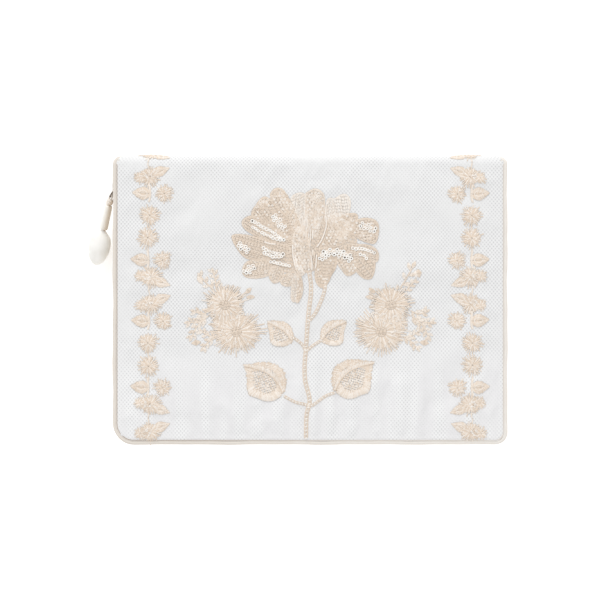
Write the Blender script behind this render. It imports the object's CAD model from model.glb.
import math
import random

import bpy
import numpy as np
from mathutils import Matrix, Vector


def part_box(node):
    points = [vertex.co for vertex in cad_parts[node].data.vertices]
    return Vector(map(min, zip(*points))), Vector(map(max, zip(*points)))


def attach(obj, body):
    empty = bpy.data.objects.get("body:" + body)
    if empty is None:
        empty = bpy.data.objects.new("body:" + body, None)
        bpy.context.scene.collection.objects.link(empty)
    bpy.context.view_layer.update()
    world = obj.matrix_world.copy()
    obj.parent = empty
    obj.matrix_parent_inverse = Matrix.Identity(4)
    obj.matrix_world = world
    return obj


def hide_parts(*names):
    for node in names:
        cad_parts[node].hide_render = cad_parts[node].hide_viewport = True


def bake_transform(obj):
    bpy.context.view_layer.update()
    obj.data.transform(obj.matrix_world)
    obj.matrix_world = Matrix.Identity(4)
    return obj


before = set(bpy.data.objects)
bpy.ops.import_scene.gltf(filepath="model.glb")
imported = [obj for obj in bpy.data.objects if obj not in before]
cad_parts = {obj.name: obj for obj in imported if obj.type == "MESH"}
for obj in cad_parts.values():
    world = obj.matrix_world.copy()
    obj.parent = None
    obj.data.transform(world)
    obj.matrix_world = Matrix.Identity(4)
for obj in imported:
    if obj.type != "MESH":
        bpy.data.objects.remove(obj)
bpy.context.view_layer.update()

MM = 0.001
# Every random draw comes from this seed, in the order of the script
rng = random.Random(7)


def box_mm(node):
    """A CAD node's low and high corners, in millimetres."""
    low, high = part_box(node)
    return np.array(low) / MM, np.array(high) / MM


SIDES = (("front", False), ("back", True))

# ---- Places taken from the frame, in millimetres ----
piping_low, piping_high = box_mm("front_piping")
HALF_W = piping_high[0]
SPINE_Y = box_mm("spine_fabric")[1][1]
FORE_Y = piping_low[1]
TOP_Z = box_mm("front_cover_fabric")[1][2]
MID_Z = TOP_Z / 2
# The cord is thinner than its CAD solid, which leaves it room to sway
CORD_SHARE = 0.82
PIPE_R = CORD_SHARE * (piping_high[2] - piping_low[2]) / 2
PIPE_Z = (piping_high[2] + piping_low[2]) / 2
SEAM_IN = 2 * PIPE_R
# Radii of the two fore-edge corners and of the roll over the spine
LEFT_R = 12.5
RIGHT_R = 7.5
ROLL_R = 5.4


# ---- Materials ----
def srgb(r, g, b):
    """Linear colour from 0-255 sRGB."""
    def one(c):
        c /= 255
        return c / 12.92 if c <= 0.04045 else ((c + 0.055) / 1.055) ** 2.4
    return one(r), one(g), one(b), 1.0


class Nodes:
    """Short calls for building one material's node tree."""

    def __init__(self, name):
        self.material = bpy.data.materials.new(name)
        self.material.use_nodes = True
        self.tree = self.material.node_tree
        self.shader = self.tree.nodes["Principled BSDF"]
        scaled = self.add("ShaderNodeVectorMath", {"operation": "SCALE"}, Scale=1 / MM)
        self.put(scaled.inputs[0], self.add("ShaderNodeTexCoord").outputs["Object"])
        self.place = scaled.outputs[0]

    def add(self, kind, settings=None, **inputs):
        node = self.tree.nodes.new(kind)
        for key, value in (settings or {}).items():
            setattr(node, key, value)
        for key, value in inputs.items():
            self.put(node.inputs[key.replace("_", " ")], value)
        return node

    def put(self, socket, value):
        if isinstance(value, bpy.types.NodeSocket):
            self.tree.links.new(value, socket)
        else:
            socket.default_value = value

    def math(self, operation, *values):
        node = self.add("ShaderNodeMath", {"operation": operation})
        for socket, value in zip(node.inputs, values):
            self.put(socket, value)
        return node.outputs[0]

    def plus(self, a, b):
        return self.math("ADD", a, b)

    def minus(self, a, b):
        return self.math("SUBTRACT", a, b)

    def times(self, a, b):
        return self.math("MULTIPLY", a, b)

    def wave(self, value, length, kind="SINE"):
        return self.math(kind, self.times(value, 2 * math.pi / length))

    def mix(self, factor, a, b):
        node = self.add("ShaderNodeMix", {"data_type": "RGBA"}, Factor=factor, A=a, B=b)
        return node.outputs["Result"]

    def ramp(self, value, low, high):
        smooth = {"interpolation_type": "SMOOTHSTEP"}
        node = self.add("ShaderNodeMapRange", smooth, Value=value, From_Min=low, From_Max=high)
        return node.outputs["Result"]

    def noise(self, scale, detail=3.0, vector=None):
        node = self.add("ShaderNodeTexNoise", Scale=scale, Detail=detail, Vector=vector or self.place)
        return node.outputs["Fac"]

    def split(self, vector):
        return self.add("ShaderNodeSeparateXYZ", Vector=vector).outputs

    def on_cloth(self):
        """The cloth's own flat coordinates in millimetres, from its UV map."""
        return self.split(self.add("ShaderNodeUVMap", {"uv_map": "cloth"}).outputs["UV"])[:2]

    def attribute(self, name):
        return self.add("ShaderNodeAttribute", {"attribute_name": name}).outputs["Fac"]

    def bump(self, height, distance_mm, strength=1.0):
        node = self.add("ShaderNodeBump", Height=height, Strength=strength, Distance=distance_mm * MM)
        self.put(self.shader.inputs["Normal"], node.outputs["Normal"])

    def finish(self, **sockets):
        for key, value in sockets.items():
            self.put(self.shader.inputs[key.replace("_", " ")], value)
        return self.material


# Size of one cell of the pique, and the pitch of its yarns and of the piping's
WEAVE_X, WEAVE_Y = 2.15, 2.45
YARN, PIPING_YARN = 0.55, 0.9


def pique_weave():
    """White bird's-eye pique: rows of small sunken dots, with soft grey folds near the fore edge."""
    n = Nodes("pique_weave")
    u, v = n.on_cloth()
    lattice = n.times(n.wave(u, WEAVE_X, "COSINE"), n.wave(v, WEAVE_Y, "COSINE"))
    stretched = n.add("ShaderNodeCombineXYZ", X=n.times(u, 0.11), Y=n.times(v, 0.012))
    streaks = n.ramp(n.noise(1.0, 2.0, stretched.outputs[0]), 0.4, 0.62)
    clouds = n.ramp(n.noise(0.03, 2.0), 0.32, 0.6)
    near_fore = n.ramp(v, -15.0, -55.0)
    patchy = n.plus(n.times(clouds, n.minus(1.0, near_fore)), n.times(streaks, near_fore))
    dots = n.ramp(lattice, 0.1, 0.95)
    peaks = n.times(n.ramp(n.times(lattice, -1.0), 0.3, 1.0), patchy)
    depth = n.times(n.plus(0.18, n.times(patchy, 0.95)), n.minus(1.12, n.times(near_fore, 0.3)))
    folds = n.times(near_fore, n.minus(1.0, streaks))
    colour = n.mix(near_fore, srgb(234, 234, 234), srgb(240, 240, 240))
    colour = n.mix(n.times(peaks, 0.8), colour, srgb(245, 245, 245))
    colour = n.mix(n.times(folds, 0.75), colour, srgb(233, 232, 233))
    colour = n.mix(n.times(dots, depth), colour, srgb(213, 213, 214))
    n.bump(n.minus(n.times(n.wave(n.plus(u, v), YARN), 0.08), dots), 0.16, 0.7)
    return n.finish(Base_Color=colour, Roughness=0.85, Sheen_Weight=0.15, Sheen_Roughness=0.4)


def thread_satin(name="thread_satin"):
    """Embroidery floss: its tone is champagne at 0, ivory at 1, white above 1 and a dark hole below 0."""
    n = Nodes(name)
    tone = n.attribute("tone")
    twisted = n.plus(tone, n.times(n.minus(n.noise(1.5, 2.0), 0.55), 1.0))
    colour = n.mix(n.ramp(twisted, 0.0, 1.0), srgb(230, 213, 195), srgb(250, 244, 237))
    colour = n.mix(n.ramp(tone, 1.0, 1.15), colour, srgb(255, 253, 249))
    colour = n.mix(n.ramp(tone, -0.9, -0.2), srgb(170, 142, 118), colour)
    n.bump(n.noise(5.0, 2.0), 0.08, 0.4)
    return n.finish(Base_Color=colour, Roughness=0.5, Sheen_Weight=0.25)


def piping_cloth():
    """Cream bias-cut piping: fine diagonal weave, browner down its sides and lighter to the right."""
    n = Nodes("piping_cloth")
    u, v = n.on_cloth()
    both = n.times(n.wave(n.plus(u, n.times(v, 1.2)), PIPING_YARN), n.wave(n.minus(u, v), PIPING_YARN))
    top = n.math("ABSOLUTE", n.math("SINE", n.math("DIVIDE", u, PIPE_R)))
    tint = n.plus(n.times(n.noise(0.25), 0.5), n.times(both, 0.12))
    rightward = n.ramp(n.split(n.place)[0], -116.0, 60.0)
    crest = n.mix(tint, n.mix(rightward, srgb(230, 223, 214), srgb(241, 237, 231)), srgb(222, 212, 201))
    seam = n.mix(rightward, srgb(178, 159, 141), srgb(224, 215, 204))
    n.bump(both, 0.06, 0.6)
    colour = n.mix(n.ramp(top, 0.25, 0.75), seam, crest)
    return n.finish(Base_Color=colour, Roughness=0.65, Sheen_Weight=0.2)


def plain_cloth(name, light, dark, thread=0.6, roughness=0.8, sheen=0.1):
    """Plain-weave cloth in two close tones."""
    n = Nodes(name)
    x, y, z = n.split(n.place)
    both = n.times(n.wave(x, thread), n.wave(n.plus(y, z), thread))
    tint = n.plus(n.times(both, 0.25), n.noise(0.12))
    n.bump(both, 0.05, 0.6)
    colour = n.mix(tint, srgb(*light), srgb(*dark))
    return n.finish(Base_Color=colour, Roughness=roughness, Sheen_Weight=sheen)


def paper(name, light, dark, layered, ruled=False):
    """Paper or board; cut edges show its layers as fine lines, and a ruled leaf has a thin double frame."""
    n = Nodes(name)
    x, y, z = n.split(n.place)
    tint = n.plus(n.noise(0.05), n.times(n.wave(z, layered), 0.15))
    colour = n.mix(tint, srgb(*light), srgb(*dark))
    if ruled:
        wide = n.minus(n.math("ABSOLUTE", x), 92.0)
        tall = n.minus(n.math("ABSOLUTE", n.minus(y, 6.0)), 62.0)
        edge = n.math("MAXIMUM", wide, tall)
        for place, half in ((0.0, 0.45), (2.2, 0.2)):
            near = n.math("ABSOLUTE", n.minus(edge, place))
            colour = n.mix(n.math("LESS_THAN", near, half), colour, srgb(176, 150, 104))
    n.bump(n.noise(1.5), 0.02, 0.4)
    return n.finish(Base_Color=colour, Roughness=0.9)


def plated_metal(name, colour, roughness):
    n = Nodes(name)
    wear = n.noise(0.9, 4.0)
    tint = n.mix(wear, colour, tuple(c * 0.55 for c in colour[:3]) + (1.0,))
    n.bump(n.noise(3.0), 0.02, 0.4)
    return n.finish(Base_Color=tint, Metallic=1.0, Roughness=n.plus(roughness, n.times(wear, 0.15)))


def tube_glaze():
    """Enamelled tube: ivory along one side, tan along the other, browner at the tip."""
    n = Nodes("tube_glaze")
    colour = n.mix(n.ramp(n.attribute("tone"), 0.25, 0.75), srgb(247, 244, 238), srgb(228, 216, 200))
    colour = n.mix(n.ramp(n.attribute("tip"), 0.9, 1.0), colour, srgb(158, 120, 88))
    n.bump(n.noise(1.2), 0.05, 0.3)
    return n.finish(Base_Color=colour, Roughness=0.28, Coat_Weight=0.4)


def pearl_glaze():
    n = Nodes("pearl_glaze")
    colour = n.mix(n.ramp(n.noise(0.16, 2.0), 0.3, 0.7), srgb(254, 253, 250), srgb(245, 243, 238))
    n.bump(n.noise(0.5), 0.03, 0.2)
    return n.finish(Base_Color=colour, Roughness=0.42, Coat_Weight=0.15, Coat_Roughness=0.3)


def studio_white():
    n = Nodes("studio_white")
    colour = n.mix(n.noise(0.01), srgb(252, 252, 252), srgb(250, 250, 250))
    n.finish(Emission_Color=(1.0, 1.0, 1.0, 1.0), Emission_Strength=0.3)
    return n.finish(Base_Color=colour, Roughness=0.9)


PIQUE = pique_weave()
THREAD = thread_satin()
PIPING = piping_cloth()
LINING = plain_cloth("lining_satin", (243, 236, 224), (231, 221, 205), 0.5, 0.45, 0.3)
TAPE = plain_cloth("zip_tape_weave", (240, 234, 224), (222, 213, 199), 0.9)
WADDING = plain_cloth("wadding_felt", (246, 246, 244), (232, 232, 228), 1.6)
BOARD = paper("grey_board", (176, 168, 156), (150, 143, 132), 0.4)
BOOK_CLOTH = plain_cloth("book_cloth", (232, 223, 207), (214, 202, 182), 0.7)
PAPER = paper("book_paper", (250, 246, 236), (240, 232, 216), 0.3, True)
ENDPAPER = paper("endpaper", (246, 240, 226), (236, 228, 210), 0.3)
SILK = thread_satin("headband_silk")
GAUZE = plain_cloth("spine_gauze", (240, 236, 226), (206, 200, 186), 1.4)
RIBBON = plain_cloth("ribbon_satin", (226, 196, 150), (204, 170, 120), 0.35, 0.35, 0.4)
NYLON = plain_cloth("coil_nylon", (242, 237, 228), (228, 220, 206), 0.5, 0.4)
METAL = plated_metal("dark_plating", srgb(136, 124, 114), 0.35)
TUBE = tube_glaze()
PEARL = pearl_glaze()
FLOOR = studio_white()


# ---- Mesh helpers ----
def make_mesh(name, points, faces, material, smooth=True):
    """A mesh object from points in millimetres."""
    mesh = bpy.data.meshes.new(name)
    mesh.from_pydata((np.asarray(points, float) * MM).tolist(), [], faces)
    mesh.validate()
    mesh.update()
    obj = bpy.data.objects.new(name, mesh)
    bpy.context.collection.objects.link(obj)
    mesh.materials.append(material)
    if smooth:
        mesh.polygons.foreach_set("use_smooth", [True] * len(mesh.polygons))
    return obj


def point_values(obj, name, values):
    layer = obj.data.attributes.new(name, "FLOAT", "POINT")
    layer.data.foreach_set("value", np.asarray(values, np.float32))


def cloth_uv(obj, flat):
    """Stores each point's flat cloth coordinates, in millimetres, as a UV map."""
    layer = obj.data.uv_layers.new(name="cloth")
    index = np.zeros(len(obj.data.loops), int)
    obj.data.loops.foreach_get("vertex_index", index)
    layer.data.foreach_set("uv", np.asarray(flat, float)[index].ravel())


def grid_faces(rows, columns, first=0, closed=False):
    """Quads over a grid of points stored row by row; closed joins the last column to the first."""
    spans = columns if closed else columns - 1
    return [
        (first + r * columns + c, first + r * columns + (c + 1) % columns,
         first + (r + 1) * columns + (c + 1) % columns, first + (r + 1) * columns + c)
        for r in range(rows - 1) for c in range(spans)
    ]


def slab_faces(rows, columns):
    """Faces of a closed slab between two grids of points, one stored after the other."""
    count = rows * columns
    faces = grid_faces(rows, columns)
    faces += [tuple(i + count for i in f[::-1]) for f in faces]
    grid = np.arange(count).reshape(rows, columns)
    rim = np.concatenate([grid[0], grid[1:, -1], grid[-1, -2::-1], grid[-2:0:-1, 0]]).tolist()
    return faces + [(b, a, a + count, b + count) for a, b in zip(rim, rim[1:] + rim[:1])]


def tube_along(path, radius, sides=10, up=(0, 0, 1)):
    """Points and faces of a tube round a path; radius may be one number or one for each point."""
    path = np.asarray(path, float)
    radii = np.full(len(path), radius) if np.isscalar(radius) else np.asarray(radius)
    run = np.gradient(path, axis=0)
    run /= np.linalg.norm(run, axis=1)[:, None]
    side = np.cross(run, np.array(up, float))
    side /= np.maximum(np.linalg.norm(side, axis=1), 1e-9)[:, None]
    lift = np.cross(side, run)
    turn = np.arange(sides) * 2 * math.pi / sides
    ring = (np.cos(turn)[None, :, None] * side[:, None, :]
            + np.sin(turn)[None, :, None] * lift[:, None, :]) * radii[:, None, None]
    points = (path[:, None, :] + ring).reshape(-1, 3)
    faces = grid_faces(len(path), sides, 0, True)
    faces.append(tuple(range(sides))[::-1])
    faces.append(tuple((len(path) - 1) * sides + k for k in range(sides)))
    return points, faces


def lengths_along(path):
    """How far along a path each of its points lies."""
    return np.concatenate([[0], np.cumsum(np.linalg.norm(np.diff(path, axis=0), axis=1))])


def directions(path):
    """The way a flat path runs at each of its points, and the way to its side."""
    run = np.gradient(path, axis=0)
    run /= np.maximum(np.linalg.norm(run, axis=1), 1e-9)[:, None]
    return run, np.stack([run[:, 1], -run[:, 0]], axis=1)


def resample(path, spacing):
    path = np.asarray(path, float)
    along = lengths_along(path)
    at = np.linspace(0, along[-1], max(2, int(round(along[-1] / spacing)) + 1))
    return np.stack([np.interp(at, along, path[:, k]) for k in range(path.shape[1])], axis=1)


def smooth_path(points, spacing, closed=False):
    """A Catmull-Rom curve through points, resampled at an even spacing."""
    p = np.asarray(points, float)
    ends = (p[-1:], p[:2]) if closed else (2 * p[:1] - p[1:2], 2 * p[-1:] - p[-2:-1])
    p = np.vstack([ends[0], p, ends[1]])
    fine = []
    t = np.linspace(0, 1, 24, endpoint=False)[:, None]
    for a, b, c, d in zip(p, p[1:], p[2:], p[3:]):
        fine.append(0.5 * (2 * b + (c - a) * t + (2 * a - 5 * b + 4 * c - d) * t ** 2
                           + (3 * b - a - 3 * c + d) * t ** 3))
    return resample(np.vstack(fine + [p[-2:-1]]), spacing)


def merge(parts):
    """Joins (points, faces) pairs into one."""
    points, faces, first = [], [], 0
    for p, f in parts:
        points.append(np.asarray(p, float))
        faces += [tuple(i + first for i in face) for face in f]
        first += len(p)
    return np.vstack(points), faces


def smoothstep(value, low, high):
    t = np.clip((np.asarray(value, float) - low) / (high - low), 0, 1)
    return t * t * (3 - 2 * t)


# ---- The padded front: how high its fabric stands at each place ----
def seam_distance(x, y):
    """How far a place lies inside the piped seam, which has rounded fore-edge corners."""
    x, y = np.asarray(x, float), np.asarray(y, float)
    radius = np.where(x < 0, LEFT_R, RIGHT_R) - SEAM_IN
    half = HALF_W - SEAM_IN
    dx = np.abs(x) - (half - radius)
    dy = (FORE_Y + SEAM_IN + radius) - y
    outside = np.hypot(np.maximum(dx, 0), np.maximum(dy, 0))
    return radius - np.where((dx > 0) & (dy > 0), outside, np.maximum(dx, dy))


PADDING = {}
LAST_FRAME = 25
CLOTH_SETTINGS = {
    "quality": 6, "mass": 0.2, "vertex_group_mass": "seam", "use_pressure": True,
    "uniform_pressure_force": 0.6, "shrink_min": -0.012, "bending_stiffness": 0.4,
}


def simulate_padding():
    """Cloth pinned along the seams and pushed up by the wadding; its slack buckles into soft waves."""
    step = 3.0
    xs = np.linspace(-HALF_W + SEAM_IN, HALF_W - SEAM_IN, int(2 * HALF_W / step))
    ys = np.linspace(FORE_Y + SEAM_IN, SPINE_Y, int((SPINE_Y - FORE_Y) / step))
    grid_x, grid_y = (grid.ravel() for grid in np.meshgrid(xs, ys))
    flat = np.stack([grid_x, grid_y, 0.02 * np.sin(grid_x * 0.9) * np.cos(grid_y * 0.35)], axis=1)
    cloth = make_mesh("padding_cloth", flat, grid_faces(len(ys), len(xs)), PIQUE)
    edge = cloth.vertex_groups.new(name="seam")
    rim = [i for i, p in enumerate(flat)
           if p[1] < ys[0] + 0.1 or p[1] > ys[-1] - 0.1 or abs(p[0]) > xs[-1] - 0.1]
    edge.add(rim, 1.0, "REPLACE")
    modifier = cloth.modifiers.new("cloth", "CLOTH")
    settings = modifier.settings
    for key, value in CLOTH_SETTINGS.items():
        setattr(settings, key, value)
    settings.effector_weights.gravity = 0.0
    scene = bpy.context.scene
    for number in range(1, LAST_FRAME + 1):
        scene.frame_set(number)
    settled = cloth.evaluated_get(bpy.context.evaluated_depsgraph_get()).to_mesh()
    z = np.array([v.co.z for v in settled.vertices]) / MM
    scene.frame_set(1)
    bpy.data.objects.remove(cloth)
    PADDING["xs"], PADDING["ys"] = xs, ys
    PADDING["z"] = z.reshape(len(ys), len(xs))


def padding_height(x, y, layer):
    """The settled cloth's height at a place, read between its points."""
    xs, ys, z = PADDING["xs"], PADDING["ys"], PADDING[layer]
    u = np.clip((np.asarray(x, float) - xs[0]) / (xs[1] - xs[0]), 0, len(xs) - 1.001)
    v = np.clip((np.asarray(y, float) - ys[0]) / (ys[1] - ys[0]), 0, len(ys) - 1.001)
    i, j = u.astype(int), v.astype(int)
    a, b = u - i, v - j
    return ((1 - a) * (1 - b) * z[j, i] + a * (1 - b) * z[j, i + 1]
            + (1 - a) * b * z[j + 1, i] + a * b * z[j + 1, i + 1])


def soften(grid, passes):
    """A grid averaged with its neighbours several times."""
    for _ in range(passes):
        wide = np.pad(grid, 1, mode="edge")
        grid = (wide[1:-1, 1:-1] * 2 + wide[:-2, 1:-1] + wide[2:, 1:-1]
                + wide[1:-1, :-2] + wide[1:-1, 2:]) / 6
    return grid


simulate_padding()
PADDING["soft"] = soften(PADDING["z"], 14)
FULL_LOFT = PADDING["z"].max()


# ---- The outer skin: a flat panel that rolls over the spine ----
# How high the padding stands and its waves rise, and how deep the seam's ditch is
CROWN = 1.3
WAVE = 0.9
DITCH = 0.4
FOLD_Y = SPINE_Y - ROLL_R
ARC = ROLL_R * math.pi / 2
SPINE_MID = FOLD_Y + ARC + TOP_Z - ROLL_R - MID_Z
# How far the cloth runs under the piping, and how far the fold's ends are drawn in
TUCK = 0.7
CORNER_IN = 3.6
GATHER_HEIGHT = 0.8
CLOTH_T, LINING_T = 0.4, 0.2


def relief(x, s):
    """How far the cloth stands above its flat place: padding, soft waves, seam ditch and gathers."""
    d = seam_distance(x, s)
    loft = padding_height(x, s, "soft")
    waves = padding_height(x, s, "z") - loft
    ditch = DITCH * (1 - smoothstep(d, 0.0, 1.5)) + 0.07 * np.exp(-((d - 3.2) / 0.4) ** 2)
    under = 0.9 * smoothstep(-d, 0.0, TUCK)
    near_seam = smoothstep(-s, 26, 66) * smoothstep(d, 0.5, 5)
    gathered = 0.35 + 0.65 * smoothstep(x, -16, -2) * (1 - smoothstep(x, 60, 78))
    pulls = np.sin(x * 0.52 + 1.6 * np.sin(x / 13)) * gathered
    over_fold = 1 - smoothstep(s, FOLD_Y, FOLD_Y + ARC)
    stand = (CROWN * loft / FULL_LOFT + WAVE * waves) * over_fold + GATHER_HEIGHT * pulls * near_seam
    return 0.5 * (stand + np.sqrt(stand ** 2 + 0.03)) - ditch - under


def skin(x, s, rise=0.0, back=False, padded=True):
    """Points on the cloth from flat coordinates: x along the spine, s up the panel and over the fold.
    The fold's ends are drawn in, and the back's padding is flat where it lies on the table."""
    x, s = np.broadcast_arrays(np.asarray(x, float), np.asarray(s, float))
    turn = np.clip((s - FOLD_Y) / ROLL_R, 0, math.pi / 2)
    down = np.maximum(s - FOLD_Y - ARC, 0)
    stand = relief(x, s) if padded else 0
    lift = (np.minimum(stand, 0) if back else stand) + rise
    x = x - np.sign(x) * CORNER_IN * (1 - np.cos(turn)) * smoothstep(np.abs(x), HALF_W - 26, HALF_W - 2)
    y = np.minimum(s, FOLD_Y) + (ROLL_R + lift) * np.sin(turn)
    z = TOP_Z - ROLL_R - down + (ROLL_R + lift) * np.cos(turn)
    return np.stack([x, y, TOP_Z - z if back else z], axis=-1)


def side_limit(s, radius, inset):
    """Half a panel's width at a place up it, inset from the outer edge, with its rounded fore-edge corner."""
    r = radius - inset
    climb = np.clip(s - (FORE_Y + inset), 0, r)
    return HALF_W - inset - r + np.sqrt(np.maximum(r * r - (r - climb) ** 2, 0))


def closed_sheet(name, outer, inner, material, flat):
    """A thin closed sheet between two grids of points; flat holds its cloth coordinates."""
    faces = slab_faces(*outer.shape[:2])
    a, b, c = outer[0, 0], outer[0, 1], outer[1, 1]
    if np.dot(np.cross(b - a, c - a), a - inner[0, 0]) < 0:
        faces = [f[::-1] for f in faces]
    obj = make_mesh(name, np.vstack([outer.reshape(-1, 3), inner.reshape(-1, 3)]), faces, material)
    flat = np.asarray(flat).reshape(-1, 2)
    cloth_uv(obj, np.vstack([flat, flat]))
    return obj


def panel_grid(s, across, inset):
    """Places over a panel with rounded corners, and its flat size and area in metres."""
    left, right = side_limit(s, LEFT_R, inset), side_limit(s, RIGHT_R, inset)
    width = left + right
    x = -left[:, None] + across[None, :] * width[:, None]
    area = float(np.sum((width[1:] + width[:-1]) / 2 * np.diff(s))) * MM * MM
    cut = (float(width.max()) * MM, float(s[-1] - s[0]) * MM)
    return x, np.broadcast_to(s[:, None], x.shape), cut, area


def spread(low, high, step, ends):
    """Even places from low to high, with extra ones close to the chosen ends."""
    places = list(np.linspace(low, high, int((high - low) / step)))
    extra = [0.15, 0.35, 0.6, 0.9, 1.3, 1.8, 2.4, 3.1]
    if "low" in ends:
        places += [low + e for e in extra]
    if "high" in ends:
        places += [high - e for e in extra]
    return np.array(sorted(places))


def cover_skin(name, back):
    """One cloth panel with its half of the spine."""
    s = spread(FORE_Y + SEAM_IN - TUCK, SPINE_MID, 1.3, ("low",))
    u = spread(0, 2 * HALF_W, 1.3, ("low", "high")) / (2 * HALF_W)
    x, grid_s, cut, area = panel_grid(s, u, SEAM_IN - TUCK)
    faces = (skin(x, grid_s, rise, back) for rise in (0.0, -CLOTH_T))
    return closed_sheet(name, *faces, PIQUE, np.stack([x, grid_s], axis=-1)), cut, area


def settle(piece, body, nodes, folded=False):
    """Puts a piece on a body, or bends it over that cover's fold, and names the CAD nodes it stands for."""
    if folded:
        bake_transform(piece)
    else:
        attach(piece, body)
    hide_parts(*nodes)


def stretched(sheet, cut, rests_on, area=None):
    """Declares a sheet that is sewn down; with an area where its outline isn't a rectangle."""


for side, is_back in SIDES:
    cloth, cut, cut_area = cover_skin(side + "_cover_cloth", is_back)
    settle(cloth, side + "_cover", (side + "_cover_fabric", "spine_fabric"), True)
    stretched(cloth, cut, side + "_cover_wadding", cut_area)


# ---- Piping round both covers and down the spine's ends ----
def outline_path(inset, left_y, right_y, spacing):
    """A line round three sides, from the left side's top end to the right's, inset from the outer edge."""
    half, low = HALF_W - inset, FORE_Y + inset
    points = [(-half, left_y)]
    for radius, sign in ((LEFT_R - inset, -1), (RIGHT_R - inset, 1)):
        turns = np.linspace(0, math.pi / 2, 13)[::-sign]
        points += [(sign * (half - radius + radius * math.cos(a)), low + radius - radius * math.sin(a))
                   for a in turns]
    points.append((half, right_y))
    return resample(points, spacing)


CORD_SIDES = 14
SEAM_R, SEAM_DEPTH = 0.22, 0.4
# Tubes take their sides from these ways, which no path follows exactly
NEARLY_UP = (0.001, 0.002, 1)
COIL_AWAY = (0.1, 0.2, 1)


def seam_piping(name, back):
    """A cloth-covered cord: round the panel, over the fold and down to the middle of the spine."""
    run = outline_path(PIPE_R, FOLD_Y, FOLD_Y, 1.2)
    z = np.full(len(run), PIPE_Z)
    turns = np.linspace(0, math.pi / 2, 8)[1:]
    bend = ROLL_R - (TOP_Z - PIPE_Z)
    fold = [(CORNER_IN * (1 - math.cos(a)), FOLD_Y + bend * math.sin(a), TOP_Z - ROLL_R + bend * math.cos(a))
            for a in turns]
    fold += [(CORNER_IN, FOLD_Y + bend, h) for h in np.linspace(fold[-1][2], MID_Z, 8)[1:]]
    left = np.array([(run[0, 0] + pull, y, h) for pull, y, h in fold])
    right = np.array([(run[-1, 0] - pull, y, h) for pull, y, h in fold])
    path = np.vstack([left[::-1], np.column_stack([run, z]), right])
    along = lengths_along(path)
    sway = 0.16 * np.sin(along / 9.1 + (2 if back else 0)) + 0.12 * np.sin(along / 4.3 + 1)
    away = path * (1, 1, 0)
    away /= np.linalg.norm(away, axis=1)[:, None]
    path = path + away * (sway + 0.05)[:, None]
    radius = PIPE_R * (1 + 0.045 * np.sin(along / 2.7) * np.sin(along / 7.9 + 0.6))
    seam = outline_path(2 * PIPE_R + 0.1, FOLD_Y, FOLD_Y, 1.2)
    seam = np.column_stack([seam, np.full(len(seam), TOP_Z - SEAM_DEPTH)])
    if back:
        path[:, 2], seam[:, 2] = TOP_Z - path[:, 2], TOP_Z - seam[:, 2]
    cord = tube_along(path, radius, CORD_SIDES, NEARLY_UP)
    line = tube_along(seam, SEAM_R, 6, NEARLY_UP)
    around = np.arange(CORD_SIDES) * 2 * math.pi * PIPE_R / CORD_SIDES
    flat = np.stack([np.tile(around, len(path)), np.repeat(along, CORD_SIDES)], axis=1)
    obj = make_mesh(name, *merge([cord, line]), PIPING)
    cloth_uv(obj, np.vstack([flat, np.full((len(line[0]), 2), 0.3 * PIPE_R)]))
    return obj


for side, is_back in SIDES:
    cord = seam_piping(side + "_piping_cord", is_back)
    settle(cord, side + "_cover", (side + "_piping", "spine_piping"), True)


# ---- Embroidery: every stitch is a raised thread ----
# The tone of the dark hole in a knot
HOLE = -0.45


def near(value, slack):
    """A random number close to a value."""
    return value + rng.uniform(-slack, slack)


def turned(points, angle):
    c, s = math.cos(angle), math.sin(angle)
    return np.asarray(points, float) @ np.array([(c, s), (-s, c)])


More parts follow.
